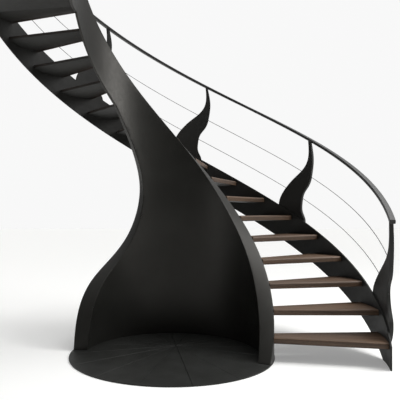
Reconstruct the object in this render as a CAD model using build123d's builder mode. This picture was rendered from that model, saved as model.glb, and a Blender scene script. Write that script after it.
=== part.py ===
"""Spiral staircase: a curved core wall on a round base plate carries sixteen timber treads,
an outer stringer, flame-shaped balusters, a handrail and a landing at the top.

Millimetres, +Z up.  The origin is on the stair's axis at floor level, on the underside of the
base plate.  Angles are in degrees about that axis, anticlockwise from +X, the way the stair climbs.
"""
from build123d import *
from math import atan2, cos, radians, sin, tan
import os

os.makedirs("parts", exist_ok=True)

# ---- rise and turn ---------------------------------------------------------------------------
RISER = 180.0                 # height from one tread top to the next
TREADS = 16                   # treads below the landing
TREAD_TURN = 11.34            # angle from one tread to the next
FIRST_ANGLE = -11.9           # direction of the first nosing

# ---- core wall, which is also the inner stringer ----------------------------------------------
CORE_RADIUS = 792.0           # outer face
CORE_START = -26.0            # where the wall's top edge comes down to the base plate
CORE_HEEL = 175.0             # where the wall's other edge meets the floor
CORE_ABOVE = 57.0             # top edge over the nosing line
CORE_BELOW = 390.0            # lower edge under the nosing line, where the wall is a stringer
NICHE_FORWARD = 33.0          # at the floor, the hollow side's axis in front of the stair's axis
NICHE_CENTRED = 2200.0        # height where the hollow side's axis, which leans, meets the stair's
NOTCH_TOP = 131.0             # where the wall's swept edge runs into that lower edge
NOTCH_MIDDLE = 145.0          # direction that the notch under the flight opens in

# ---- outer stringer ---------------------------------------------------------------------------
STRINGER_RADIUS = 1612.0      # outer face
STRINGER_THICKNESS = 12.0
STRINGER_START = -16.5
STRINGER_ABOVE = 63.0
STRINGER_BELOW = 266.0

# ---- base plate -------------------------------------------------------------------------------
BASE_MARGIN = 5.0             # base plate beyond the wall's outer face
BASE_THICKNESS = 10.0

# ---- treads -----------------------------------------------------------------------------------
NOSING_LEAD = 68.0            # nosing in front of the radial line that it is parallel to
NOSING_DEPTH = 45.0           # height of the nosing's front face
NOSING_WIDTH = 32.0           # nosing's return, front to back
NOSING_ROUND = 14.0           # rounding of the nosing's upper edge
BOARD_THICKNESS = 20.0        # board behind the nosing
REAR_INNER = 5.9              # angle of the rear edge from the tread's direction, at the core wall
REAR_OUTER = 10.6             # the same at the outer stringer
PAN_DROP = 30.0               # deepest point of the steel pan below the board
PAN_REAR = 4.0                # pan's thickness at its rear edge
SEAT_GAP = 0.3                # clearance where a curved end meets a curved face

# ---- landing ----------------------------------------------------------------------------------
LEVEL_ANGLE = 173.0           # where the stringers, rail and rods turn level
LEVEL_STEP = 1.0              # step down in the wall's lower edge there
LANDING_END = 196.0
LANDING_DEPTH = 262.0         # deck top to the soffit
LANDING_PLATE = 8.0           # plate thickness of the landing's tray
LANDING_FRONT = 15.0          # tray's front in front of the landing's own radial line

# ---- balusters, handrail and infill rods ------------------------------------------------------
BALUSTER_ANGLES = (-4.2, 42.3, 83.9, 122.3, 160.0, 189.0)
BALUSTER_THICKNESS = 28.0
FIRST_BELLY = 1.25            # how much broader the first baluster is, uphill
FIRST_HEEL = 1.6              # and downhill, at its foot
RAIL_WIDTH = 44.0
RAIL_HEIGHT = 30.0
RAIL_CHAMFER = 5.0
RAIL_ABOVE = 869.0            # underside over the nosing line
RAIL_OVERHANG = 1.2           # angle that the rail runs on past the first baluster's top
ROD_DIAMETER = 6.0
ROD_HEIGHTS = (270.0, 531.0)  # rods over the nosing line
ROD_STARTS = (-4.4, -8.0)     # each rod's start, from the first baluster's angle
ROD_ENDS = (4.6, -4.9)        # each rod's end, from the last baluster's angle
ROD_CLEARANCE = 0.4           # each side of a rod in its hole

# ---- worked out -------------------------------------------------------------------------------
RISE_PER_DEGREE = RISER / TREAD_TURN
HELIX_PITCH = 360.0 * RISE_PER_DEGREE
CORE_REACH = 0.7 * CORE_RADIUS
STRINGER_INNER = STRINGER_RADIUS - STRINGER_THICKNESS
LANDING_TOP = RISER * (TREADS + 1)
BALUSTER_MIDDLE = STRINGER_RADIUS + SEAT_GAP + BALUSTER_THICKNESS / 2
TREAD_INNER = CORE_RADIUS + SEAT_GAP
TREAD_OUTER = STRINGER_INNER - SEAT_GAP


def nosing_line(angle):
    """Height of the line through the nosings, as a helix about the axis."""
    return RISER + (angle - FIRST_ANGLE) * RISE_PER_DEGREE


def polar(radius, angle):
    return (radius * cos(radians(angle)), radius * sin(radians(angle)))


def radial_plane(angle, height):
    """Upright plane through the axis: x points outwards, y points up."""
    a = radians(angle)
    return Plane(origin=(0, 0, height), x_dir=(cos(a), sin(a), 0), z_dir=(sin(a), -cos(a), 0))


def tangent_plane(angle, distance, height=0.0):
    """Upright plane that faces outwards: x points along the climb, y points up."""
    a = radians(angle)
    origin = (distance * cos(a), distance * sin(a), height)
    return Plane(origin=origin, x_dir=(-sin(a), cos(a), 0), z_dir=(cos(a), sin(a), 0))


def ring_sector(inner, outer, start, end, bottom, top):
    """Part of an upright tube between two angles and two heights."""
    middle = (start + end) / 2
    with BuildPart() as sector:
        with BuildSketch(Plane.XY.offset(bottom)):
            with BuildLine():
                Line(polar(inner, start), polar(outer, start))
                ThreePointArc(polar(outer, start), polar(outer, middle), polar(outer, end))
                Line(polar(outer, end), polar(inner, end))
                ThreePointArc(polar(inner, end), polar(inner, middle), polar(inner, start))
            make_face()
        extrude(amount=top - bottom)
    return sector.part


def helical_sweep(section, radius, start, end, height):
    """A section swept up the stair with its middle at a height over the nosing line."""
    base = nosing_line(start) + height
    with BuildPart() as bar:
        with BuildLine(Plane.XY.offset(base)) as path:
            Helix(pitch=HELIX_PITCH, height=(end - start) * RISE_PER_DEGREE, radius=radius)
        with BuildSketch(radial_plane(0, base)):
            with Locations((radius, 0)):
                section()
        sweep(path=path.wires()[0], is_frenet=True)
    return bar.part.rotate(Axis.Z, start)


def helical_bar(inner, outer, start, end, bottom, top):
    """Rectangle swept up the stair; bottom and top are over the nosing line."""
    return helical_sweep(
        lambda: Rectangle(outer - inner, top - bottom), (inner + outer) / 2, start, end, (bottom + top) / 2
    )


def guard_bar(section, start, end, height):
    """A section that follows the stair at a height over the nosing line, then the level landing."""
    with BuildPart() as bar:
        if start < LEVEL_ANGLE:
            add(helical_sweep(section, BALUSTER_MIDDLE, start, min(end, LEVEL_ANGLE), height))
        if end > LEVEL_ANGLE:
            level_start = max(start, LEVEL_ANGLE)
            with BuildSketch(radial_plane(level_start, nosing_line(LEVEL_ANGLE) + height)):
                with Locations((BALUSTER_MIDDLE, 0)):
                    section()
            revolve(axis=Axis.Z, revolution_arc=end - level_start)
    return bar.part


def rod(diameter, start, end, height):
    return guard_bar(lambda: RegularPolygon(diameter / 2, 8), start, end, height)


# ---- base plate --------------------------------------------------------------------------------
with BuildPart() as base_plate:
    with BuildSketch():
        Circle(CORE_RADIUS + BASE_MARGIN)
    extrude(amount=BASE_THICKNESS)

# ---- core wall ---------------------------------------------------------------------------------
# The wall's thickness at shares of the landing's height.
WALL_PROFILE = (
    (-0.04, 98), (0.16, 122), (0.30, 114), (0.41, 103), (0.49, 78), (0.62, 41), (0.76, 24), (1.06, 18),
)
# The wall's swept edge, as angles and shares of the height where it joins the stringer's edge.
NOTCH_EDGE = (
    (CORE_HEEL, 0.005), (170.5, 0.112), (162.0, 0.194), (150.0, 0.263), (134.0, 0.339), (121.0, 0.434),
    (115.2, 0.525), (112.7, 0.635), (116.5, 0.780), (123.5, 0.900), (NOTCH_TOP, 1.0),
)
NOTCH_NEAR = 0.6 * CORE_RADIUS         # the notch's cutter starts inside the wall
NOTCH_FAR = 1.25 * CORE_RADIUS         # and ends outside it
BAR_REACH = 80.0                       # radial reach of a cutter past each face
TALL = LANDING_TOP + 1500.0            # over everything
notch_height = nosing_line(NOTCH_TOP) - CORE_BELOW
level_line = nosing_line(LEVEL_ANGLE)

with BuildPart() as notch:
    for distance in (NOTCH_NEAR, NOTCH_FAR):
        edge = [(distance * tan(radians(a - NOTCH_MIDDLE)), share * notch_height) for a, share in NOTCH_EDGE]
        out = distance * tan(radians(CORE_HEEL + 8 - NOTCH_MIDDLE))
        with BuildSketch(tangent_plane(NOTCH_MIDDLE, distance)):
            with BuildLine():
                Spline(*edge)
                Polyline(edge[-1], (edge[-1][0] + 0.1 * distance, edge[-1][1] + 40), (out, 1.08 * notch_height),
                         (out, -100), (edge[0][0], -100), edge[0])
            make_face()
    loft(ruled=True)

lean = atan2(NICHE_FORWARD, NICHE_CENTRED)

with BuildPart() as niche:
    with BuildSketch(Plane(origin=(0, -NICHE_FORWARD, 0), x_dir=(1, 0, 0), z_dir=(0, -cos(lean), sin(lean)))):
        with BuildLine():
            face = [(CORE_RADIUS - thickness, share * LANDING_TOP) for share, thickness in WALL_PROFILE]
            Spline(*face)
            Polyline(face[-1], (face[-1][0], TALL), (0, TALL), (0, face[0][1]), face[0])
        make_face()
    revolve(axis=Axis((0, -NICHE_FORWARD, 0), (0, sin(lean), cos(lean))))

with BuildPart() as core_wall:
    add(ring_sector(CORE_REACH, CORE_RADIUS, CORE_START, LEVEL_ANGLE, BASE_THICKNESS, TALL))
    add(ring_sector(CORE_REACH, CORE_RADIUS, LEVEL_ANGLE, CORE_HEEL, BASE_THICKNESS, 0.4 * notch_height))
    add(notch.part, mode=Mode.SUBTRACT)
    add(helical_bar(CORE_REACH - BAR_REACH, CORE_RADIUS + BAR_REACH, CORE_START - 5, LEVEL_ANGLE + 2,
                    CORE_ABOVE, TALL + RISER), mode=Mode.SUBTRACT)
    add(helical_bar(CORE_REACH - BAR_REACH, CORE_RADIUS + BAR_REACH, NOTCH_TOP, LEVEL_ANGLE + 6,
                    -CORE_BELOW - 0.4 * notch_height, -CORE_BELOW), mode=Mode.SUBTRACT)
    add(ring_sector(CORE_REACH, CORE_RADIUS, LEVEL_ANGLE, LANDING_END,
                    level_line - CORE_BELOW - LEVEL_STEP, level_line + CORE_ABOVE))
    add(niche.part, mode=Mode.SUBTRACT)

# ---- outer stringer ----------------------------------------------------------------------------
with BuildPart() as outer_stringer:
    add(ring_sector(STRINGER_INNER, STRINGER_RADIUS, STRINGER_START, LEVEL_ANGLE, 0, TALL))
    add(helical_bar(STRINGER_INNER - BAR_REACH, STRINGER_RADIUS + BAR_REACH, STRINGER_START - 5,
                    LEVEL_ANGLE + 2, STRINGER_ABOVE, TALL), mode=Mode.SUBTRACT)
    add(helical_bar(STRINGER_INNER - BAR_REACH, STRINGER_RADIUS + BAR_REACH, STRINGER_START - 5,
                    LEVEL_ANGLE + 2, -TALL, -STRINGER_BELOW), mode=Mode.SUBTRACT)
    add(ring_sector(STRINGER_INNER, STRINGER_RADIUS, LEVEL_ANGLE, LANDING_END,
                    level_line - STRINGER_BELOW, level_line + STRINGER_ABOVE))


# ---- treads ------------------------------------------------------------------------------------
def footprint(front, rear_inner, rear_outer, trim=0.0):
    """Plan of a tread that points along +X, between the core wall and the outer stringer."""
    inner = TREAD_INNER + trim
    outer = TREAD_OUTER - trim
    with BuildSketch() as plan:
        with BuildLine():
            Line(polar(inner, -20), polar(outer, -20))
            ThreePointArc(polar(outer, -20), polar(outer, (rear_outer - 20) / 2), polar(outer, rear_outer))
            Line(polar(outer, rear_outer), polar(inner, rear_inner))
            ThreePointArc(polar(inner, rear_inner), polar(inner, (rear_inner - 20) / 2), polar(inner, -20))
        make_face()
        with Locations((outer / 2, front - 500)):
            Rectangle(2 * outer, 1000, mode=Mode.SUBTRACT)
    return plan.sketch


def timber(rear_inner, rear_outer):
    """Board with its top at zero and a deeper, rounded nosing along its front."""
    back = NOSING_WIDTH - NOSING_LEAD
    with BuildPart() as board:
        with BuildSketch(Plane.YZ):
            with BuildLine():
                Polyline((NOSING_ROUND - NOSING_LEAD, 0), (TREAD_OUTER, 0), (TREAD_OUTER, -BOARD_THICKNESS),
                         (back, -BOARD_THICKNESS), (back, -NOSING_DEPTH), (-NOSING_LEAD, -NOSING_DEPTH),
                         (-NOSING_LEAD, -NOSING_ROUND))
                RadiusArc((-NOSING_LEAD, -NOSING_ROUND), (NOSING_ROUND - NOSING_LEAD, 0), NOSING_ROUND)
            make_face()
        extrude(amount=2 * TREAD_OUTER)
        add(footprint(-2 * NOSING_LEAD, rear_inner, rear_outer))
        extrude(amount=2 * NOSING_DEPTH, both=True, mode=Mode.INTERSECT)
    return board.part


def pan():
    """Steel pan under the board, from the nosing's back to the rear edge, with a belly below."""
    front = NOSING_WIDTH - NOSING_LEAD
    rear_start = polar(TREAD_INNER, REAR_INNER)
    rear_end = polar(TREAD_OUTER, REAR_OUTER)
    slope = (rear_end[1] - rear_start[1]) / (rear_end[0] - rear_start[0])
    with BuildPart() as steel:
        for x in (0.9 * TREAD_INNER, 1.02 * TREAD_OUTER):
            rear = rear_start[1] + slope * (x - rear_start[0])
            belly = front + 0.38 * (rear - front)
            with BuildSketch(Plane.YZ.offset(x)):
                with BuildLine():
                    Polyline((front, 2 - NOSING_DEPTH), (front, -BOARD_THICKNESS), (rear, -BOARD_THICKNESS),
                             (rear, -BOARD_THICKNESS - PAN_REAR))
                    ThreePointArc((rear, -BOARD_THICKNESS - PAN_REAR), (belly, -BOARD_THICKNESS - PAN_DROP),
                                  (front, 2 - NOSING_DEPTH))
                make_face()
        loft(ruled=True)
        add(footprint(-2 * NOSING_LEAD, REAR_INNER, REAR_OUTER))
        extrude(amount=2 * NOSING_DEPTH, both=True, mode=Mode.INTERSECT)
    return steel.part


tread_board = timber(REAR_INNER, REAR_OUTER)
tread_pan = pan()

# ---- landing -----------------------------------------------------------------------------------
landing_angle = FIRST_ANGLE + TREADS * TREAD_TURN
landing_turn = LANDING_END - landing_angle
landing_place = Location((0, 0, LANDING_TOP), (0, 0, landing_angle))
landing_board = timber(landing_turn, landing_turn)

with BuildPart() as landing_pan:
    with BuildSketch(Plane.XY.offset(-LANDING_DEPTH)):
        add(footprint(-LANDING_FRONT, landing_turn, landing_turn))
    extrude(amount=LANDING_DEPTH - BOARD_THICKNESS)
    with BuildSketch(Plane.XY.offset(LANDING_PLATE - LANDING_DEPTH)):
        add(footprint(LANDING_PLATE - LANDING_FRONT, landing_turn - 0.5, landing_turn - 0.5, LANDING_PLATE))
    extrude(amount=LANDING_DEPTH, mode=Mode.SUBTRACT)


# ---- balusters ---------------------------------------------------------------------------------
def baluster(angle):
    """Flame-shaped plate rolled to the stringer's curve, outside it and under the rail."""
    line = nosing_line(min(angle, LEVEL_ANGLE))
    outer = BALUSTER_MIDDLE + BALUSTER_THICKNESS / 2
    inner = BALUSTER_MIDDLE - BALUSTER_THICKNESS / 2
    belly = FIRST_BELLY if angle == BALUSTER_ANGLES[0] else 1
    heel = FIRST_HEEL if angle == BALUSTER_ANGLES[0] else 1
    with BuildPart() as plate:
        with BuildSketch(tangent_plane(angle, BALUSTER_MIDDLE, line)):
            with BuildLine():
                Spline((-30, -165), (60, -118), (136 * belly, -10), (162 * belly, 100), (156 * belly, 190),
                       (78 * belly, 320), (-15, 408), (-113, 483), (-173, 560), (-192, 670), (-176, 960))
                Line((-176, 960), (-194, 960))
                Spline((-194, 960), (-216, 730), (-238, 580), (-224, 450), (-187, 335), (-126, 255),
                       (-62 - 40 * heel, 160), (-104 * heel, 80), (-136 * heel, 5), (-128 * heel, -80),
                       (-30, -165))
            make_face()
        extrude(amount=60, both=True)
        add(ring_sector(inner, outer, angle - 14, angle + 14, 0, TALL), mode=Mode.INTERSECT)
        rail_bottom = RAIL_ABOVE - SEAT_GAP
        if angle < LEVEL_ANGLE:
            add(helical_bar(inner - 20, outer + 20, angle - 14, angle + 2, rail_bottom, rail_bottom + 400),
                mode=Mode.SUBTRACT)
        else:
            add(ring_sector(inner - 20, outer + 20, angle - 14, angle + 14, line + rail_bottom, TALL),
                mode=Mode.SUBTRACT)
        for height, start, end in zip(ROD_HEIGHTS, ROD_STARTS, ROD_ENDS):
            bore = ROD_DIAMETER + 2 * ROD_CLEARANCE
            bore_start = BALUSTER_ANGLES[0] + start - 1 if angle == BALUSTER_ANGLES[0] else angle - 14
            add(rod(bore, bore_start, angle + 14, height), mode=Mode.SUBTRACT)
    return plate.part


# ---- handrail and infill rods ------------------------------------------------------------------
def rail_section():
    """Flat bar with its four edges chamfered."""
    x = RAIL_WIDTH / 2
    y = RAIL_HEIGHT / 2
    c = RAIL_CHAMFER
    Polygon((-x, c - y), (c - x, -y), (x - c, -y), (x, c - y), (x, y - c), (x - c, y), (c - x, y), (-x, y - c))


rail_start = BALUSTER_ANGLES[0] - 7.8 - RAIL_OVERHANG
handrail = guard_bar(rail_section, rail_start, LANDING_END, RAIL_ABOVE + RAIL_HEIGHT / 2)
infill_rods = Compound([
    rod(ROD_DIAMETER, BALUSTER_ANGLES[0] + start, BALUSTER_ANGLES[-1] + end, height)
    for height, start, end in zip(ROD_HEIGHTS, ROD_STARTS, ROD_ENDS)
])


# ---- output ------------------------------------------------------------------------------------
def save(name, piece):
    piece.label = name
    export_step(piece, f"parts/{name}.step")


save("base_plate", base_plate.part)
save("core_wall", core_wall.part)
save("outer_stringer", outer_stringer.part)
for number in range(1, TREADS + 1):
    place = Location((0, 0, number * RISER), (0, 0, FIRST_ANGLE + (number - 1) * TREAD_TURN))
    save(f"tread_board_{number}", tread_board.moved(place))
    save(f"tread_pan_{number}", tread_pan.moved(place))
save("landing_board", landing_board.moved(landing_place))
save("landing_pan", landing_pan.part.moved(landing_place))
for number, angle in enumerate(BALUSTER_ANGLES, start=1):
    save(f"baluster_{number}", baluster(angle))
save("handrail", handrail)
save("infill_rods", infill_rods)
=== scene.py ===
import random
from math import cos, inf, pi, radians, sin

import bmesh
import bpy
from bpy.props import FloatProperty, FloatVectorProperty, IntProperty, PointerProperty
from mathutils import Matrix, Vector
from mathutils.bvhtree import BVHTree


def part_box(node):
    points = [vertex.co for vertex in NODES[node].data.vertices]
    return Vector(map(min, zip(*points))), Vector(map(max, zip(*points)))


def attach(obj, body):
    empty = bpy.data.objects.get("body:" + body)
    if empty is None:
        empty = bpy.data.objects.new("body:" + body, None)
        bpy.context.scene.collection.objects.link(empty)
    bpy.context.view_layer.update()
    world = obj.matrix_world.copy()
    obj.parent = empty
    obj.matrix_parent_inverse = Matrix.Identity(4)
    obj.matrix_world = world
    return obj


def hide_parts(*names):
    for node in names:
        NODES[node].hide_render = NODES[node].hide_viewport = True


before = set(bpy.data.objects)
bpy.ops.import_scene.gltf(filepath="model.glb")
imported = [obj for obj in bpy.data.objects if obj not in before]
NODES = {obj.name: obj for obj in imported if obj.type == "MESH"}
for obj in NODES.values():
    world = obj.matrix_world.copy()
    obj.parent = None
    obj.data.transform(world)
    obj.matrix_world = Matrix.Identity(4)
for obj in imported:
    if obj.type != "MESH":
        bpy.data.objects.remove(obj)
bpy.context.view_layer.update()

bl_info = {
    "name": "Spiral Staircase",
    "version": (1, 0, 0),
    "blender": (4, 5, 0),
    "location": "3D View > Sidebar > Staircase",
    "description": "Finishes a steel and timber spiral staircase and sets up its studio",
    "category": "Object",
}

TREADS = sum(name.startswith("tread_board_") for name in NODES)
BALUSTERS = sum(name.startswith("baluster_") for name in NODES)

# ---- details that a user wouldn't change --------------------------------------------------------
SAME_PLACE = 1e-6             # vertices closer than this are one
MESH_MERGE = 0.0002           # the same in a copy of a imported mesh, whose slivers are joined too
FLAT_ANGLE = radians(0.2)     # triangles that turn less than this are one flat face
ROUNDED_ANGLE = radians(28)   # edges sharper than this are rounded
SHADED_ANGLE = radians(40)    # edges sharper than this are shaded as sharp
ROUND_STEPS = 2               # flats across a rounded edge
RIM_SIDES = 240               # sides of the base plate's rim
RIM_LEVEL = 1e-5              # an edge within this of the plate's top lies on it
BOLT_SIDES = 20
SCREW_SIDES = 12
RAY_RADIUS = 3.0              # rays that find the bolts' places start this far from the stair's axis
GRAIN_STEP = (3.7, 1.9, 0.35)  # how far the grain moves on from one board to the next
TONE_SEED = 7                 # of the draw that gives each board its tone
SIDE_LEAN = 0.3               # lean of a face's normal from which it is an underside, a rear or a front
NOSING_SHADE_SHARE = 0.3            # painted shade on a nosing's front and a board's ends, as a share of that on a rear edge
# Each tread's four screws, as metres out along the tread and back from its direction.
SCREW_PLACES = ((0.95, 0.0), (1.45, 0.0), (0.95, 0.08), (1.45, 0.19))
# A dome head with a round socket, as shares of its radius outwards and of its height upwards.
HEAD_PROFILE = ((0, 0.45), (0.42, 0.45), (0.42, 0.95), (0.62, 0.90), (0.88, 0.60), (1, 0.20), (1, -0.30))
HEAD_HEIGHT = 0.55            # as a share of its radius
# The weld's section, as shares of its leg outwards from the wall and upwards from the plate.
WELD_PROFILE = ((-0.3, 1.0), (0.25, 0.92), (0.7, 0.6), (0.95, 0.2), (1.0, -0.2), (-0.3, -0.2))
RIPPLE = 0.005                # length of one ripple of the weld's bead
RIPPLE_HEIGHT = 0.12          # as a share of the weld's leg
RIPPLE_FROM = 0.3             # height where the ripples start, as a share of the leg


def linear(colour):
    """A hex colour as linear red, green and blue."""
    shares = [int(colour[i : i + 2], 16) / 255 for i in (1, 3, 5)]
    return tuple(s / 12.92 if s <= 0.04045 else ((s + 0.055) / 1.055) ** 2.4 for s in shares)


# ---- sizes and colours -------------------------------------------------------------------------
class StairSizes(bpy.types.PropertyGroup):
    """Sizes of the details that the finished pieces add, in metres and radians."""

    first_angle: FloatProperty(name="First tread", description="Direction of the first tread",
                               default=radians(-11.9), subtype="ANGLE")
    turn: FloatProperty(name="Turn per tread", description="Angle from one tread to the next",
                        default=radians(11.34), subtype="ANGLE")
    steel_round: FloatProperty(name="Steel edges", description="Rounding of the steel plates' edges",
                               default=0.002, unit="LENGTH")
    timber_round: FloatProperty(name="Timber edges", description="Rounding of the boards' edges",
                                default=0.003, unit="LENGTH")
    wall_round: FloatProperty(name="Wall edges", description="Rounding of the core wall's edges",
                              default=0.006, unit="LENGTH")
    sectors: IntProperty(name="Sectors", description="Sectors that the base plate is made of",
                         default=18, min=3)
    main_seam: IntProperty(name="Main seams", description="Every so many seams, one is a wide one",
                           default=3, min=1)
    seam_gap: FloatProperty(name="Seam gap", description="Gap along a main seam", default=0.0012,
                            unit="LENGTH")
    seam_chamfer: FloatProperty(name="Seam chamfer", description="Chamfer along a main seam",
                                default=0.004, unit="LENGTH")
    hairline: FloatProperty(name="Hairline share", description="Width of the other seams, as a share",
                            default=0.45, min=0.1, max=1)
    seam_centre: FloatVectorProperty(name="Seam centre", description="Where the seams meet",
                                     default=(0.032, 0.205, 0.0), subtype="TRANSLATION", unit="LENGTH")
    seam_angle: FloatProperty(name="First seam", description="Direction of the first seam",
                              default=radians(-84), subtype="ANGLE")
    backing: FloatProperty(name="Backing share", description="The backing disc's share of the thickness",
                           default=0.4, min=0.1, max=0.9)
    backing_inset: FloatProperty(name="Backing inset", description="How far the backing disc stands back",
                                 default=0.002, unit="LENGTH")
    wall_foot: FloatProperty(name="Sharp foot", description="Height of the wall's foot that stays sharp",
                             default=0.002, unit="LENGTH")
    weld_size: FloatProperty(name="Weld size", description="Leg of the weld round the wall's foot",
                             default=0.004, unit="LENGTH")
    weld_start: FloatProperty(name="Weld start", description="Where the wall's foot begins",
                              default=radians(-25.8), subtype="ANGLE")
    weld_end: FloatProperty(name="Weld end", description="Where the wall's foot ends",
                            default=radians(174), subtype="ANGLE")
    bolt_radius: FloatProperty(name="Bolt head", description="Radius of the balusters' bolt heads",
                               default=0.010, unit="LENGTH")
    bolt_low: FloatProperty(name="Lower bolt", description="Height of a baluster's lower bolt",
                            default=0.045, unit="LENGTH")
    bolt_high: FloatProperty(name="Upper bolt", description="Height of a baluster's upper bolt",
                             default=0.115, unit="LENGTH")
    screw_radius: FloatProperty(name="Screw head", description="Radius of the board screws' heads",
                                default=0.0045, unit="LENGTH")


class StairColours(bpy.types.PropertyGroup):
    """Colours of the finishes."""

    wall: FloatVectorProperty(name="Wall", description="Blackened and waxed steel of the core wall",
                              default=linear("#1a1a18"), subtype="COLOR")
    wall_light: FloatVectorProperty(name="Wall, light", description="Its lighter clouds",
                                    default=linear("#222220"), subtype="COLOR")
    wax: FloatVectorProperty(name="Wax", description="Tint of the wax's sheen",
                             default=linear("#fffbf4"), subtype="COLOR")
    steel: FloatVectorProperty(name="Steel", description="Matt black powder coat",
                               default=linear("#1d1d1b"), subtype="COLOR")
    steel_light: FloatVectorProperty(name="Steel, light", description="Its lighter clouds",
                                     default=linear("#242422"), subtype="COLOR")
    plate: FloatVectorProperty(name="Base plate", description="Blackened plate",
                               default=linear("#181916"), subtype="COLOR")
    plate_light: FloatVectorProperty(name="Base plate, light", description="Its lighter clouds",
                                     default=linear("#212220"), subtype="COLOR")
    rail: FloatVectorProperty(name="Handrail", description="Satin graphite paint",
                              default=linear("#363635"), subtype="COLOR")
    rail_light: FloatVectorProperty(name="Handrail, light", description="Its lighter clouds",
                                    default=linear("#3e3e3d"), subtype="COLOR")
    rod: FloatVectorProperty(name="Rods", description="Blackened drawn steel",
                             default=linear("#444442"), subtype="COLOR")
    rod_light: FloatVectorProperty(name="Rods, light", description="Where the blackening is thin",
                                   default=linear("#525250"), subtype="COLOR")
    timber: FloatVectorProperty(name="Timber", description="Stained oak between the pores",
                                default=linear("#745a43"), subtype="COLOR")
    timber_dark: FloatVectorProperty(name="Timber, dark", description="Late wood and pores",
                                     default=linear("#463427"), subtype="COLOR")
    floor: FloatVectorProperty(name="Floor", description="Pale studio floor",
                               default=linear("#e9e9e7"), subtype="COLOR")


class StairStudio(bpy.types.PropertyGroup):
    """Camera and lamps."""

    eye: FloatVectorProperty(name="Camera", description="Place of the camera",
                             default=(0.0276, -4.114, 1.1165), subtype="TRANSLATION", unit="LENGTH")
    lens: FloatProperty(name="Lens", description="Focal length in millimetres", default=47.01)
    sensor: FloatProperty(name="Sensor", description="Width of the sensor in millimetres", default=36)
    shift_x: FloatProperty(name="Shift X", description="Sideways shift of the lens", default=0.0613)
    shift_y: FloatProperty(name="Shift Y", description="Upward shift of the lens", default=0.0294)
    key: FloatProperty(name="Key lamp", description="Strength of the broad lamp overhead", default=1.55)
    key_from: FloatVectorProperty(name="Key direction", description="Where the key lamp shines from",
                                  default=(0.30, 0.15, 0.94), subtype="DIRECTION")
    key_angle: FloatProperty(name="Key softness", description="How broad the key lamp looks",
                             default=radians(50), subtype="ANGLE")
    side: FloatProperty(name="Side softbox", description="Power of the softbox at the right",
                        default=125, unit="POWER")
    side_size: FloatProperty(name="Side size", description="Width of the softbox at the right",
                             default=1.9, unit="LENGTH")
    side_place: FloatVectorProperty(name="Side place", description="Middle of the softbox at the right",
                                    default=(4.4, -0.6, 3.6), subtype="TRANSLATION", unit="LENGTH")
    fill: FloatProperty(name="Fill softbox", description="Power of the softbox at the left",
                        default=14, unit="POWER")
    fill_size: FloatProperty(name="Fill size", description="Width of the softbox at the left",
                             default=2.0, unit="LENGTH")
    fill_place: FloatVectorProperty(name="Fill place", description="Middle of the softbox at the left",
                                    default=(-4.5, -1.6, 2.0), subtype="TRANSLATION", unit="LENGTH")
    aim: FloatVectorProperty(name="Aim", description="Where both softboxes point",
                             default=(0, 0.3, 1.7), subtype="TRANSLATION", unit="LENGTH")
    floor_reach: FloatProperty(name="Floor reach", description="Half of the floor's width",
                               default=30, unit="LENGTH")
    front: FloatProperty(name="Front light", description="Strength of the light from the camera's side",
                         default=0.06, min=0)
    back: FloatProperty(name="Back light", description="Strength of the light from the bright side",
                        default=0.55, min=0)
    bright_side: FloatVectorProperty(name="Bright side", description="Where the surroundings are bright",
                                     default=(0.50, 0.55, 0.67), subtype="DIRECTION")
    dim_to: FloatProperty(name="Dim to", description="Where the surroundings begin to brighten",
                          default=-0.2, min=-1, max=1)
    bright_from: FloatProperty(name="Bright from", description="Where they are fully bright",
                               default=0.8, min=-1, max=1)
    white: FloatProperty(name="Background", description="White of the surroundings for the camera",
                         default=0.94, min=0)
    glow: FloatProperty(name="Floor glow", description="White that the floor adds for the camera",
                        default=0.25, min=0)


# ---- materials ---------------------------------------------------------------------------------
WHITE = (1.0, 1.0, 1.0)
NOISE_RANGE = (0.3, 0.7)      # where nearly all of a noise pattern lies
GLOSS_SPREAD = 0.03           # how far a coat's roughness strays from its middle
SPOTS = 12                    # spots of gloss across one cloud of tone
# A Mix node has several sockets of each name, so those for colours go by number.
MIX_FIRST, MIX_SECOND, MIX_RESULT = 6, 7, 2


def add_node(tree, kind, inputs=None, **settings):
    """One node with its settings; each input gets a value or a link from another node's output."""
    made = tree.nodes.new(kind)
    for name, value in settings.items():
        setattr(made, name, value)
    for name, value in (inputs or {}).items():
        if isinstance(value, bpy.types.NodeSocket):
            tree.links.new(value, made.inputs[name])
        else:
            made.inputs[name].default_value = value
    return made


def noise(tree, place, scale, detail, distortion=0.0):
    """A noise pattern, with its scale in repeats per metre."""
    return add_node(tree, "ShaderNodeTexNoise", {"Vector": place, "Scale": scale, "Detail": detail,
                                                 "Distortion": distortion}).outputs["Fac"]


def stretch(tree, place, scale):
    """Places with scaled axes: a pattern on them is drawn out along the axis scaled least."""
    return add_node(tree, "ShaderNodeMapping", {"Vector": place, "Scale": scale}).outputs[0]


def remap(tree, value, source, target=(0.0, 1.0), **settings):
    """A value moved from one range into another, and kept inside it."""
    return add_node(tree, "ShaderNodeMapRange", {
        "Value": value, "From Min": source[0], "From Max": source[1],
        "To Min": target[0], "To Max": target[1]}, **settings).outputs[0]


def arithmetic(tree, operation, *values):
    """A sum worked out on values or patterns."""
    return add_node(tree, "ShaderNodeMath", dict(enumerate(values)), operation=operation).outputs[0]


def mix(tree, share, first, second, **settings):
    """Two colours mixed; the second one's share is a value or a pattern."""
    return add_node(tree, "ShaderNodeMix", {0: share, MIX_FIRST: first, MIX_SECOND: second},
                    data_type="RGBA", **settings).outputs[MIX_RESULT]


def attribute(tree, name, output="Fac"):
    """A pattern that the piece's own mesh carries."""
    return add_node(tree, "ShaderNodeAttribute", attribute_name=name).outputs[output]


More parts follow.
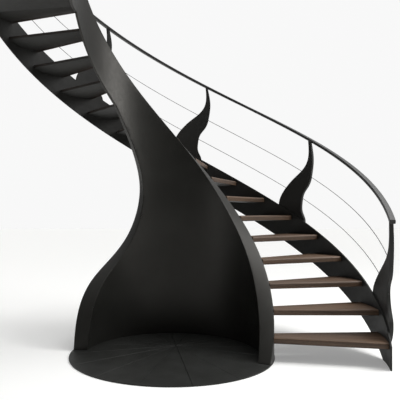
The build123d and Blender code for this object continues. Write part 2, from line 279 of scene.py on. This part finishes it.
def seen_by(tree, *rays):
    """1 for these kinds of ray, which are named as on a Light Path node, and 0 for all others."""
    path = add_node(tree, "ShaderNodeLightPath").outputs
    seen = path[rays[0]]
    for ray in rays[1:]:
        seen = arithmetic(tree, "MAXIMUM", seen, path[ray])
    return seen


def colour4(colour):
    """A colour, fully opaque."""
    return (*colour, 1.0)


def new_material(name):
    """An empty node material and its node tree."""
    material = bpy.data.materials.new(name)
    material.use_nodes = True
    material.node_tree.nodes.clear()
    return material, material.node_tree


def add_shader(tree, colour, gloss, height, strength, depth, extra=None):
    """The shader of a finish, whose height pattern becomes bumps of a depth in metres."""
    relief = add_node(tree, "ShaderNodeBump", {"Height": height, "Strength": strength,
                                               "Distance": depth})
    shader = add_node(tree, "ShaderNodeBsdfPrincipled", {
        "Base Color": colour, "Roughness": gloss, "Normal": relief.outputs[0], **(extra or {})})
    add_node(tree, "ShaderNodeOutputMaterial", {"Surface": shader.outputs[0]})


def clouded_coat(name, dark, light, roughness, grain, cloud, bump, sheen=WHITE):
    """A dark coat on steel: clouds of tone and spots of gloss, and a skin with a fine grain.

    grain, cloud and bump are the size of the skin's grain, the size of a cloud and the depth of
    the skin, in metres.
    """
    _, tree = new_material(name)
    place = add_node(tree, "ShaderNodeTexCoord").outputs["Object"]
    clouds = noise(tree, place, 1 / cloud, detail=4.0)
    spots = noise(tree, place, SPOTS / cloud, detail=3.0)
    skin = noise(tree, place, 1 / grain, detail=2.0)
    tone = remap(tree, clouds, (0.35, 0.65))
    colour = mix(tree, tone, colour4(dark), colour4(light))
    gloss = remap(tree, spots, NOISE_RANGE, (roughness - GLOSS_SPREAD, roughness + GLOSS_SPREAD))
    add_shader(tree, colour, gloss, skin, 0.5, bump, {"IOR": 1.42, "Specular Tint": colour4(sheen)})


def stained_oak(name, colours):
    """Oak stained grey-brown and oiled: streaks along the board, short dark pores, low sheen, and painted
    shade that darkens the rear edges and undersides nearly to black and the nosings and ends partly.
    """
    _, tree = new_material(name)
    place = attribute(tree, "grain", "Vector")
    # Growth rings show as streaks about 14 mm wide and half a metre long.
    streaks = noise(tree, stretch(tree, place, (2.0, 70.0, 70.0)), 1.0, detail=5.0, distortion=0.6)
    # Fine fibres, 2 mm wide.
    fibres = noise(tree, stretch(tree, place, (9.0, 480.0, 480.0)), 1.0, detail=3.0)
    # Open pores, 1 mm wide and 30 mm long: drawn wider than the real 0.3 mm, so that they show.
    pores = noise(tree, stretch(tree, place, (32.0, 900.0, 900.0)), 1.0, detail=1.0)
    pores = remap(tree, pores, (0.60, 0.68))
    # Dark late wood follows the streaks most, then the fibres, and each board has its own tone.
    share = arithmetic(tree, "MULTIPLY", streaks, 0.65)
    share = arithmetic(tree, "MULTIPLY_ADD", fibres, 0.35, share)
    share = arithmetic(tree, "MULTIPLY_ADD", attribute(tree, "tone"), 0.16, share)
    share = remap(tree, share, (0.38, 0.74))
    wood = mix(tree, share, colour4(colours.timber), colour4(colours.timber_dark))
    wood = mix(tree, pores, wood, colour4([c * 0.5 for c in colours.timber_dark]))
    # Painted shade: the rear edges and undersides are darkened nearly to black, and the nosings and board
    # ends by a share of that.
    shade = arithmetic(tree, "MULTIPLY_ADD", attribute(tree, "edge"), -0.88, 1.0)
    colour = mix(tree, 1.0, wood, shade, blend_type="MULTIPLY")
    gloss = remap(tree, streaks, NOISE_RANGE, (0.48, 0.60))
    height = arithmetic(tree, "SUBTRACT", fibres, pores)
    add_shader(tree, colour, gloss, height, 0.5, 0.0003)


def blackened_rod(name, colours):
    """Drawn steel rod, blackened and oiled: a dark metal with fine scratches and a soft sheen."""
    _, tree = new_material(name)
    place = add_node(tree, "ShaderNodeTexCoord").outputs["Object"]
    # The blackening is thinner in patches about 40 mm long.
    patches = noise(tree, place, 25.0, detail=3.0)
    colour = mix(tree, patches, colour4(colours.rod), colour4(colours.rod_light))
    # Scratches 1 mm apart: drawn coarser than the real 0.1 mm, so that they show.
    scratches = noise(tree, place, 900.0, detail=2.0)
    gloss = remap(tree, scratches, NOISE_RANGE, (0.26, 0.40))
    add_shader(tree, colour, gloss, scratches, 0.3, 0.0001, {"Metallic": 1.0})


def pale_floor(colours, lift):
    """A pale floor that takes shadows and adds some white for the camera and for reflections."""
    material, tree = new_material("pale_floor")
    seen = seen_by(tree, "Is Camera Ray", "Is Glossy Ray", "Is Transmission Ray")
    lift = arithmetic(tree, "MULTIPLY", seen, lift)
    diffuse = add_node(tree, "ShaderNodeBsdfDiffuse", {"Color": colour4(colours.floor)})
    glow = add_node(tree, "ShaderNodeEmission", {"Color": colour4(WHITE), "Strength": lift})
    both = add_node(tree, "ShaderNodeAddShader", {0: diffuse.outputs[0], 1: glow.outputs[0]})
    add_node(tree, "ShaderNodeOutputMaterial", {"Surface": both.outputs[0]})
    return material


def finish_named(name):
    """The material of that name, made the first time that a piece asks for it."""
    if name not in bpy.data.materials:
        colours = bpy.context.scene.stair_colours
        if name == "waxed_black_steel":
            # Rolled plate, blackened and waxed: a satin sheen, a little warm, in clouds 350 mm across.
            clouded_coat(name, colours.wall, colours.wall_light, roughness=0.41, grain=0.003,
                         cloud=0.35, bump=0.0002, sheen=colours.wax)
        elif name == "black_powder_coat":
            # Matt powder coat: hardly any sheen, and a fine orange-peel skin 3 mm across.
            clouded_coat(name, colours.steel, colours.steel_light, roughness=0.65, grain=0.003,
                         cloud=0.50, bump=0.0002)
        elif name == "blackened_plate":
            # Mill plate, blackened: dull, with cloudy patches 160 mm across and 2 mm of scale grain.
            clouded_coat(name, colours.plate, colours.plate_light, roughness=0.52, grain=0.002,
                         cloud=0.16, bump=0.0003)
        elif name == "graphite_satin":
            # Smooth satin paint, dark grey, which catches a line of light along the rail's edges.
            clouded_coat(name, colours.rail, colours.rail_light, roughness=0.34, grain=0.002,
                         cloud=0.20, bump=0.0001)
        elif name == "black_oxide":
            # Black oxide on bolts and screws: smoother and shinier than the paint around them.
            clouded_coat(name, colours.steel, colours.steel_light, roughness=0.30, grain=0.001,
                         cloud=0.05, bump=0.0001)
        elif name == "stained_oak":
            stained_oak(name, colours)
        elif name == "blackened_rod":
            blackened_rod(name, colours)
    return bpy.data.materials[name]


# ---- helpers -----------------------------------------------------------------------------------
def mesh_copy(node):
    """A copy of a node's mesh, with its triangles joined and its flat faces whole."""
    bm = bmesh.new()
    bm.from_mesh(NODES[node].data)
    bmesh.ops.remove_doubles(bm, verts=bm.verts, dist=MESH_MERGE)
    bmesh.ops.dissolve_limit(bm, angle_limit=FLAT_ANGLE, verts=bm.verts, edges=bm.edges)
    return bm


def raise_faces(bm, faces, height):
    """Extrudes faces straight up."""
    made = bmesh.ops.extrude_face_region(bm, geom=faces)["geom"]
    bmesh.ops.translate(bm, verts=[v for v in made if isinstance(v, bmesh.types.BMVert)],
                        vec=(0, 0, height))


def round_edges(bm, radius, lowest=-inf):
    """Rounds every sharp edge that reaches above a height."""
    sharp = [e for e in bm.edges if e.is_manifold and e.calc_face_angle(0) > ROUNDED_ANGLE
             and max(v.co.z for v in e.verts) > lowest]
    bmesh.ops.bevel(bm, geom=sharp, offset=radius, offset_type="OFFSET", segments=ROUND_STEPS,
                    profile=0.5, affect="EDGES", material=-1, clamp_overlap=False, loop_slide=True)


def close_up(bm):
    """Merges doubles, closes openings and turns the faces outwards."""
    bmesh.ops.remove_doubles(bm, verts=bm.verts, dist=SAME_PLACE)
    bmesh.ops.holes_fill(bm, edges=[e for e in bm.edges if e.is_boundary])
    bmesh.ops.recalc_face_normals(bm, faces=bm.faces)


def spin_profile(bm, points, closed, angle, steps):
    """Spins a run of points about the vertical axis; a closed run ends where it starts."""
    verts = [bm.verts.new(point) for point in points]
    ends = verts[1:] + verts[:1] if closed else verts[1:]
    edges = [bm.edges.new(pair) for pair in zip(verts, ends)]
    bmesh.ops.spin(bm, geom=verts + edges, cent=(0, 0, 0), axis=(0, 0, 1), angle=angle, steps=steps,
                   use_merge=angle == 2 * pi)


def add_object(name, data):
    """A new object in the scene, at the origin."""
    made = bpy.data.objects.new(name, data)
    bpy.context.scene.collection.objects.link(made)
    return made


def add_piece(name, bm, finish, replaces=()):
    """A finished object from a mesh under construction, riding on the staircase."""
    for face in bm.faces:
        face.smooth = True
    for edge in bm.edges:
        edge.smooth = not edge.is_manifold or edge.calc_face_angle(0) < SHADED_ANGLE
    mesh = bpy.data.meshes.new(name)
    bm.to_mesh(mesh)
    bm.free()
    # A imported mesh's own normals don't fit its rounded edges.
    if "custom_normal" in mesh.attributes:
        mesh.attributes.remove(mesh.attributes["custom_normal"])
    mesh.materials.clear()
    mesh.materials.append(finish_named(finish))
    piece = add_object(name, mesh)
    normals = piece.modifiers.new("weighted_normals", "WEIGHTED_NORMAL")
    normals.mode = "FACE_AREA"
    normals.keep_sharp = True
    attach(piece, "root")
    if replaces:
        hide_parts(*replaces)


def paint_node(node, finish):
    """Gives a carried-over node its finish."""
    materials = NODES[node].data.materials
    for index in range(len(materials)):
        materials[index] = finish_named(finish)


def tread_angle(number):
    """Direction of a tread from the stair's axis."""
    sizes = bpy.context.scene.stair_sizes
    return sizes.first_angle + (number - 1) * sizes.turn


def seat(node, start, direction):
    """Where a line meets a node, and which way its surface faces there."""
    bm = bmesh.new()
    bm.from_mesh(NODES[node].data)
    place, normal, _, _ = BVHTree.FromBMesh(bm).ray_cast(start, direction)
    bm.free()
    if place is None:
        raise ValueError(f"nothing to seat a head on at {node}")
    return place, normal


def add_head(bm, place, normal, radius, sides):
    """A bolt's or screw's dome head, seated on a surface."""
    start = len(bm.verts)
    height = radius * HEAD_HEIGHT
    profile = [(share * radius, 0, rise * height) for share, rise in HEAD_PROFILE]
    spin_profile(bm, profile, False, 2 * pi, sides)
    bm.verts.ensure_lookup_table()
    made = bm.verts[start:]
    turn = normal.to_track_quat("Z", "Y").to_matrix().to_4x4()
    bmesh.ops.transform(bm, verts=made, matrix=Matrix.Translation(place) @ turn)


# ---- operators ---------------------------------------------------------------------------------
class StairOperator(bpy.types.Operator):
    """Base of the staircase's operators."""

    bl_options = {"REGISTER", "UNDO"}


class STAIR_OT_boards(StairOperator):
    """Timber boards of the treads and the landing, with eased edges, grain along each board and painted
    shade on their rear edges, undersides and nosings
    """

    bl_idname = "stair.boards"
    bl_label = "Timber Boards"

    def execute(self, context):
        sizes = context.scene.stair_sizes
        tones = random.Random(TONE_SEED)
        for number in range(1, TREADS + 2):
            node = "landing_board" if number > TREADS else f"tread_board_{number}"
            bm = mesh_copy(node)
            round_edges(bm, sizes.timber_round)
            turn = Matrix.Rotation(-tread_angle(number), 4, "Z")
            grain = bm.verts.layers.float_vector.new("grain")
            tone = bm.verts.layers.float.new("tone")
            edge = bm.faces.layers.float.new("edge")
            shade = tones.random()
            shift = Vector([number * step for step in GRAIN_STEP])
            for vert in bm.verts:
                vert[grain] = turn @ vert.co + shift
                vert[tone] = shade
            # Painted shade by the way each face turns: full on rear edges and undersides, a share on
            # nosings and ends.
            for face in bm.faces:
                rear = (turn.to_3x3() @ face.normal).y > SIDE_LEAN
                if rear or face.normal.z < -SIDE_LEAN:
                    face[edge] = 1.0
                elif face.normal.z < SIDE_LEAN:
                    face[edge] = NOSING_SHADE_SHARE
            add_piece(node.replace("board", "timber"), bm, "stained_oak", [node])
        return {"FINISHED"}


class STAIR_OT_plates(StairOperator):
    """Steel wall, stringer, landing and balusters with eased edges, and the treads' pans"""

    bl_idname = "stair.plates"
    bl_label = "Steel Plates"

    def execute(self, context):
        sizes = context.scene.stair_sizes
        wall = mesh_copy("core_wall")
        # The edges that stand on the base plate stay sharp, under their weld.
        round_edges(wall, sizes.wall_round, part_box("base_plate")[1].z + sizes.wall_foot)
        add_piece("core_wall_steel", wall, "waxed_black_steel", ["core_wall"])
        balusters = [f"baluster_{number}" for number in range(1, BALUSTERS + 1)]
        for node in ["outer_stringer", "landing_pan", *balusters]:
            bm = mesh_copy(node)
            round_edges(bm, sizes.steel_round)
            add_piece(f"{node}_steel", bm, "black_powder_coat", [node])
        for number in range(1, TREADS + 1):
            paint_node(f"tread_pan_{number}", "black_powder_coat")
        return {"FINISHED"}


class STAIR_OT_base(StairOperator):
    """Base plate of sectors whose chamfered seams meet off its middle, on a backing disc"""

    bl_idname = "stair.base"
    bl_label = "Base Plate"

    def cut_seam(self, bm, sizes, seam, side, top):
        """Cuts a disc along one seam, closes the cut and chamfers its upper edge."""
        angle = sizes.seam_angle + seam * 2 * pi / sizes.sectors
        share = sizes.hairline if seam % sizes.main_seam else 1
        out = Vector((-sin(angle), cos(angle), 0)) * side
        place = Vector(sizes.seam_centre) - out * sizes.seam_gap * share / 2
        cut = bmesh.ops.bisect_plane(bm, geom=bm.verts[:] + bm.edges[:] + bm.faces[:],
                                     plane_co=place, plane_no=out, clear_outer=True)
        edges = [e for e in cut["geom_cut"] if isinstance(e, bmesh.types.BMEdge)]
        face = bmesh.ops.contextual_create(bm, geom=edges)["faces"][0]
        upper = [e for e in face.edges if all(v.co.z > top - RIM_LEVEL for v in e.verts)]
        bmesh.ops.bevel(bm, geom=upper, offset=sizes.seam_chamfer * share, offset_type="OFFSET",
                        segments=1, profile=0.5, affect="EDGES", material=-1, clamp_overlap=True)

    def execute(self, context):
        sizes = context.scene.stair_sizes
        low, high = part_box("base_plate")
        radius = (high.x - low.x) / 2
        backing = (high.z - low.z) * sizes.backing
        whole = bmesh.new()
        for sector in range(sizes.sectors):
            bm = bmesh.new()
            bmesh.ops.create_circle(bm, cap_ends=True, radius=radius, segments=RIM_SIDES)
            bmesh.ops.translate(bm, verts=bm.verts, vec=(0, 0, backing))
            raise_faces(bm, bm.faces[:], high.z - backing)
            self.cut_seam(bm, sizes, sector, -1, high.z)
            self.cut_seam(bm, sizes, sector + 1, 1, high.z)
            bmesh.ops.recalc_face_normals(bm, faces=bm.faces)
            part = bpy.data.meshes.new("sector")
            bm.to_mesh(part)
            bm.free()
            whole.from_mesh(part)
            bpy.data.meshes.remove(part)
        made = bmesh.ops.create_circle(whole, cap_ends=True, radius=radius - sizes.backing_inset,
                                       segments=RIM_SIDES)
        raise_faces(whole, made["verts"][0].link_faces[:], backing)
        bmesh.ops.recalc_face_normals(whole, faces=whole.faces)
        add_piece("base_plate_sectors", whole, "blackened_plate", ["base_plate"])
        return {"FINISHED"}


class STAIR_OT_rail(StairOperator):
    """Flat handrail with rounded edges, and the two round rods below it"""

    bl_idname = "stair.rail"
    bl_label = "Handrail and Rods"

    def execute(self, context):
        sizes = context.scene.stair_sizes
        bm = mesh_copy("handrail")
        round_edges(bm, sizes.steel_round)
        add_piece("handrail_bar", bm, "graphite_satin", ["handrail"])
        paint_node("infill_rods", "blackened_rod")
        return {"FINISHED"}


class STAIR_OT_fixings(StairOperator):
    """Bolts that hold the balusters, and screws that hold the boards from under the treads"""

    bl_idname = "stair.fixings"
    bl_label = "Bolts and Screws"

    def execute(self, context):
        sizes = context.scene.stair_sizes
        bolts = bmesh.new()
        for number in range(1, BALUSTERS + 1):
            node = f"baluster_{number}"
            low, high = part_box(node)
            middle = (low + high) / 2
            out = Vector((middle.x, middle.y, 0)).normalized()
            for height in (sizes.bolt_low, sizes.bolt_high):
                start = out * RAY_RADIUS + Vector((0, 0, low.z + height))
                place, normal = seat(node, start, -out)
                add_head(bolts, place, normal, sizes.bolt_radius, BOLT_SIDES)
        close_up(bolts)
        add_piece("baluster_bolts", bolts, "black_oxide")

        screws = bmesh.new()
        for number in range(1, TREADS + 1):
            angle = tread_angle(number)
            along = Vector((cos(angle), sin(angle), 0))
            across = Vector((-sin(angle), cos(angle), 0))
            for out, back in SCREW_PLACES:
                start = along * out + across * back
                place, normal = seat(f"tread_pan_{number}", start, Vector((0, 0, 1)))
                add_head(screws, place, normal, sizes.screw_radius, SCREW_SIDES)
        close_up(screws)
        add_piece("tread_screws", screws, "black_oxide")
        return {"FINISHED"}


class STAIR_OT_weld(StairOperator):
    """Rippled weld bead round the foot of the wall"""

    bl_idname = "stair.weld"
    bl_label = "Weld"

    def execute(self, context):
        sizes = context.scene.stair_sizes
        size = sizes.weld_size
        plate_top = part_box("base_plate")[1].z
        wall = max(vert.co.xy.length for vert in NODES["core_wall"].data.vertices)
        along = Vector((cos(sizes.weld_start), sin(sizes.weld_start), 0))
        section = [along * (wall + out * size) + Vector((0, 0, plate_top + up * size))
                   for out, up in WELD_PROFILE]
        turn = sizes.weld_end - sizes.weld_start
        # Each ripple of the bead is drawn with two rings.
        steps = 2 * round(turn * wall / RIPPLE)
        weld = bmesh.new()
        spin_profile(weld, section, True, turn, steps)
        for vert in weld.verts:
            if vert.co.z - plate_top > RIPPLE_FROM * size:
                around = vert.co.xy.angle_signed(Vector((1, 0)))
                vert.co.z += RIPPLE_HEIGHT * size * cos(around * pi * steps / turn)
        close_up(weld)
        add_piece("wall_foot_weld", weld, "waxed_black_steel")
        return {"FINISHED"}


class STAIR_OT_studio(StairOperator):
    """Pale floor, soft lamps, white surroundings and the camera"""

    bl_idname = "stair.studio"
    bl_label = "Studio"

    def add_floor(self, scene, studio):
        """A flat floor."""
        bm = bmesh.new()
        bmesh.ops.create_grid(bm, x_segments=1, y_segments=1, size=studio.floor_reach)
        mesh = bpy.data.meshes.new("studio_floor")
        bm.to_mesh(mesh)
        bm.free()
        mesh.materials.append(pale_floor(scene.stair_colours, studio.glow))
        floor = add_object("studio_floor", mesh)

    def add_surroundings(self, scene, studio):
        """White for the camera; for light and reflections, dim with one bright side."""
        scene.world = bpy.data.worlds.new("studio")
        scene.world.use_nodes = True
        tree = scene.world.node_tree
        tree.nodes.clear()
        around = add_node(tree, "ShaderNodeTexCoord").outputs["Generated"]
        side = add_node(tree, "ShaderNodeVectorMath", {0: around, 1: studio.bright_side},
                        operation="DOT_PRODUCT").outputs["Value"]
        level = remap(tree, side, (studio.dim_to, studio.bright_from), (studio.front, studio.back),
                      interpolation_type="SMOOTHSTEP")
        seen = seen_by(tree, "Is Camera Ray", "Is Transmission Ray")
        room = add_node(tree, "ShaderNodeBackground", {"Color": colour4(WHITE), "Strength": level})
        white = add_node(tree, "ShaderNodeBackground", {"Color": colour4(WHITE),
                                                        "Strength": studio.white})
        mixed = add_node(tree, "ShaderNodeMixShader", {0: seen, 1: room.outputs[0],
                                                       2: white.outputs[0]})
        add_node(tree, "ShaderNodeOutputWorld", {"Surface": mixed.outputs[0]})

    def add_key_lamp(self, studio):
        """A broad lamp overhead."""
        lamp = bpy.data.lights.new("key_lamp", "SUN")
        lamp.energy = studio.key
        lamp.angle = studio.key_angle
        made = add_object("key_lamp", lamp)
        made.rotation_euler = Vector(studio.key_from).to_track_quat("Z", "Y").to_euler()

    def add_softbox(self, name, power, size, place, aim):
        """A square lamp that the camera doesn't see: only its light and its reflections show."""
        lamp = bpy.data.lights.new(name, "AREA")
        lamp.energy = power
        lamp.size = size
        made = add_object(name, lamp)
        made.location = place
        made.rotation_euler = (Vector(place) - Vector(aim)).to_track_quat("Z", "Y").to_euler()
        made.visible_camera = False

    def add_camera(self, scene, studio):
        """A level camera that looks along Y."""
        camera = bpy.data.cameras.new("camera")
        camera.lens = studio.lens
        camera.sensor_width = studio.sensor
        camera.shift_x = studio.shift_x
        camera.shift_y = studio.shift_y
        made = add_object("camera", camera)
        made.location = studio.eye
        made.rotation_euler = (pi / 2, 0, 0)
        scene.camera = made

    def execute(self, context):
        scene = context.scene
        studio = scene.stair_studio
        self.add_floor(scene, studio)
        self.add_surroundings(scene, studio)
        self.add_key_lamp(studio)
        self.add_softbox("side_softbox", studio.side, studio.side_size, studio.side_place, studio.aim)
        self.add_softbox("fill_softbox", studio.fill, studio.fill_size, studio.fill_place, studio.aim)
        self.add_camera(scene, studio)
        scene.view_settings.view_transform = "Standard"
        return {"FINISHED"}


class STAIR_PT_panel(bpy.types.Panel):
    """Lists the staircase's operators, sizes, colours and studio settings"""

    bl_label = "Staircase"
    bl_idname = "STAIR_PT_panel"
    bl_space_type = "VIEW_3D"
    bl_region_type = "UI"
    bl_category = "Staircase"

    def draw(self, context):
        for operator in OPERATORS:
            self.layout.operator(operator.bl_idname)
        for group in (context.scene.stair_sizes, context.scene.stair_colours, context.scene.stair_studio):
            box = self.layout.box()
            for name in group.__annotations__:
                box.prop(group, name)


OPERATORS = (STAIR_OT_boards, STAIR_OT_plates, STAIR_OT_base, STAIR_OT_rail, STAIR_OT_fixings,
             STAIR_OT_weld, STAIR_OT_studio)
GROUPS = {"stair_sizes": StairSizes, "stair_colours": StairColours, "stair_studio": StairStudio}


def register():
    for made in (*GROUPS.values(), *OPERATORS, STAIR_PT_panel):
        bpy.utils.register_class(made)
    for name, group in GROUPS.items():
        setattr(bpy.types.Scene, name, PointerProperty(type=group))


def unregister():
    for name in GROUPS:
        delattr(bpy.types.Scene, name)
    for made in reversed((*GROUPS.values(), *OPERATORS, STAIR_PT_panel)):
        bpy.utils.unregister_class(made)


def main():
    register()
    bpy.ops.stair.boards()
    bpy.ops.stair.plates()
    bpy.ops.stair.base()
    bpy.ops.stair.rail()
    bpy.ops.stair.fixings()
    bpy.ops.stair.weld()
    bpy.ops.stair.studio()


if __name__ == "__main__":
    main()
